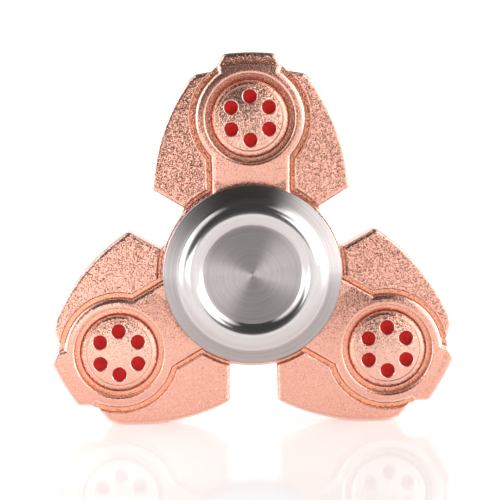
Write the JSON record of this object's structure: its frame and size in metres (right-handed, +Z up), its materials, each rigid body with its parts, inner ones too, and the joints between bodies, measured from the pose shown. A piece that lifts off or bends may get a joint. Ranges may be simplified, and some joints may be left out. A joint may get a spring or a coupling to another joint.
{
  "type": "fidget spinner",
  "caption": "Three-lobed fidget spinner: plated cast frame with round weights and raised wings, turning on a ball bearing between two dished steel finger caps.",
  "frame": {"origin": "centre of the ball bearing, on the mid plane of the spinner", "axes": "Y is the spin axis and the front face looks toward -Y; +Z is up along one lobe, so the spinner stands on its two lower lobes; +X is to the right seen from the front"},
  "size_m": [0.0608, 0.0148, 0.0557],
  "materials": {
    "plated_frame": "rose copper plating over a fine blasted casting, edges slightly brighter",
    "plated_disc": "rose copper plating, fine blasted face and smooth rounded rim",
    "red_plastic": "moulded red plastic, satin gloss",
    "turned_steel": "bare turned steel with concentric tool marks",
    "stud_steel": "plain steel thread",
    "washer_brass": "turned brass",
    "bearing_steel": "ground bearing steel",
    "shield_steel": "pressed sheet steel",
    "cage_steel": "pressed sheet steel",
    "ball_steel": "polished steel ball"
  },
  "bodies": {
    "finger_hub": {"front_cap": "turned_steel", "rear_cap": "turned_steel", "cap_stud": "stud_steel", "front_spacer_washer": "washer_brass", "rear_spacer_washer": "washer_brass", "bearing_inner_ring": "bearing_steel"},
    "rotor": {"spinner_frame": "plated_frame", "bearing_outer_ring": "bearing_steel", "bearing_shield_front": "shield_steel", "bearing_shield_rear": "shield_steel", "weight_disc_front_top": "plated_disc", "weight_disc_rear_top": "plated_disc", "weight_disc_front_left": "plated_disc", "weight_disc_rear_left": "plated_disc", "weight_disc_front_right": "plated_disc", "weight_disc_rear_right": "plated_disc", "red_insert_top": "red_plastic", "red_insert_left": "red_plastic", "red_insert_right": "red_plastic"},
    "ball_cage": {"cage_front": "cage_steel", "cage_rear": "cage_steel", "cage_rivets": "cage_steel"},
    "ball_1": {"bearing_ball_1": "ball_steel"},
    "ball_2": {"bearing_ball_2": "ball_steel"},
    "ball_3": {"bearing_ball_3": "ball_steel"},
    "ball_4": {"bearing_ball_4": "ball_steel"},
    "ball_5": {"bearing_ball_5": "ball_steel"},
    "ball_6": {"bearing_ball_6": "ball_steel"},
    "ball_7": {"bearing_ball_7": "ball_steel"}
  },
  "joints": [
    {"name": "rotor_spin", "type": "hinge", "parent": "finger_hub", "child": "rotor", "pos_m": [0, 0, 0], "axis": [0, -1, 0], "continuous": true},
    {"name": "cage_orbit", "type": "hinge", "parent": "finger_hub", "child": "ball_cage", "pos_m": [0, 0, 0], "axis": [0, -1, 0], "continuous": true},
    {"name": "ball_1_spin", "type": "hinge", "parent": "ball_cage", "child": "ball_1", "pos_m": [0, 0, 0.0075], "axis": [0, -1, 0], "continuous": true},
    {"name": "ball_2_spin", "type": "hinge", "parent": "ball_cage", "child": "ball_2", "pos_m": [-0.00586, 0, 0.00468], "axis": [0, -1, 0], "continuous": true},
    {"name": "ball_3_spin", "type": "hinge", "parent": "ball_cage", "child": "ball_3", "pos_m": [-0.00731, 0, -0.00167], "axis": [0, -1, 0], "continuous": true},
    {"name": "ball_4_spin", "type": "hinge", "parent": "ball_cage", "child": "ball_4", "pos_m": [-0.00325, 0, -0.00676], "axis": [0, -1, 0], "continuous": true},
    {"name": "ball_5_spin", "type": "hinge", "parent": "ball_cage", "child": "ball_5", "pos_m": [0.00325, 0, -0.00676], "axis": [0, -1, 0], "continuous": true},
    {"name": "ball_6_spin", "type": "hinge", "parent": "ball_cage", "child": "ball_6", "pos_m": [0.00731, 0, -0.00167], "axis": [0, -1, 0], "continuous": true},
    {"name": "ball_7_spin", "type": "hinge", "parent": "ball_cage", "child": "ball_7", "pos_m": [0.00586, 0, 0.00468], "axis": [0, -1, 0], "continuous": true}
  ],
  "couplings": [
    {"joint": "cage_orbit", "follows": "rotor_spin", "ratio": 0.63233},
    {"joint": "ball_1_spin", "follows": "rotor_spin", "ratio": 1.7568},
    {"joint": "ball_2_spin", "follows": "rotor_spin", "ratio": 1.7568},
    {"joint": "ball_3_spin", "follows": "rotor_spin", "ratio": 1.7568},
    {"joint": "ball_4_spin", "follows": "rotor_spin", "ratio": 1.7568},
    {"joint": "ball_5_spin", "follows": "rotor_spin", "ratio": 1.7568},
    {"joint": "ball_6_spin", "follows": "rotor_spin", "ratio": 1.7568},
    {"joint": "ball_7_spin", "follows": "rotor_spin", "ratio": 1.7568}
  ]
}
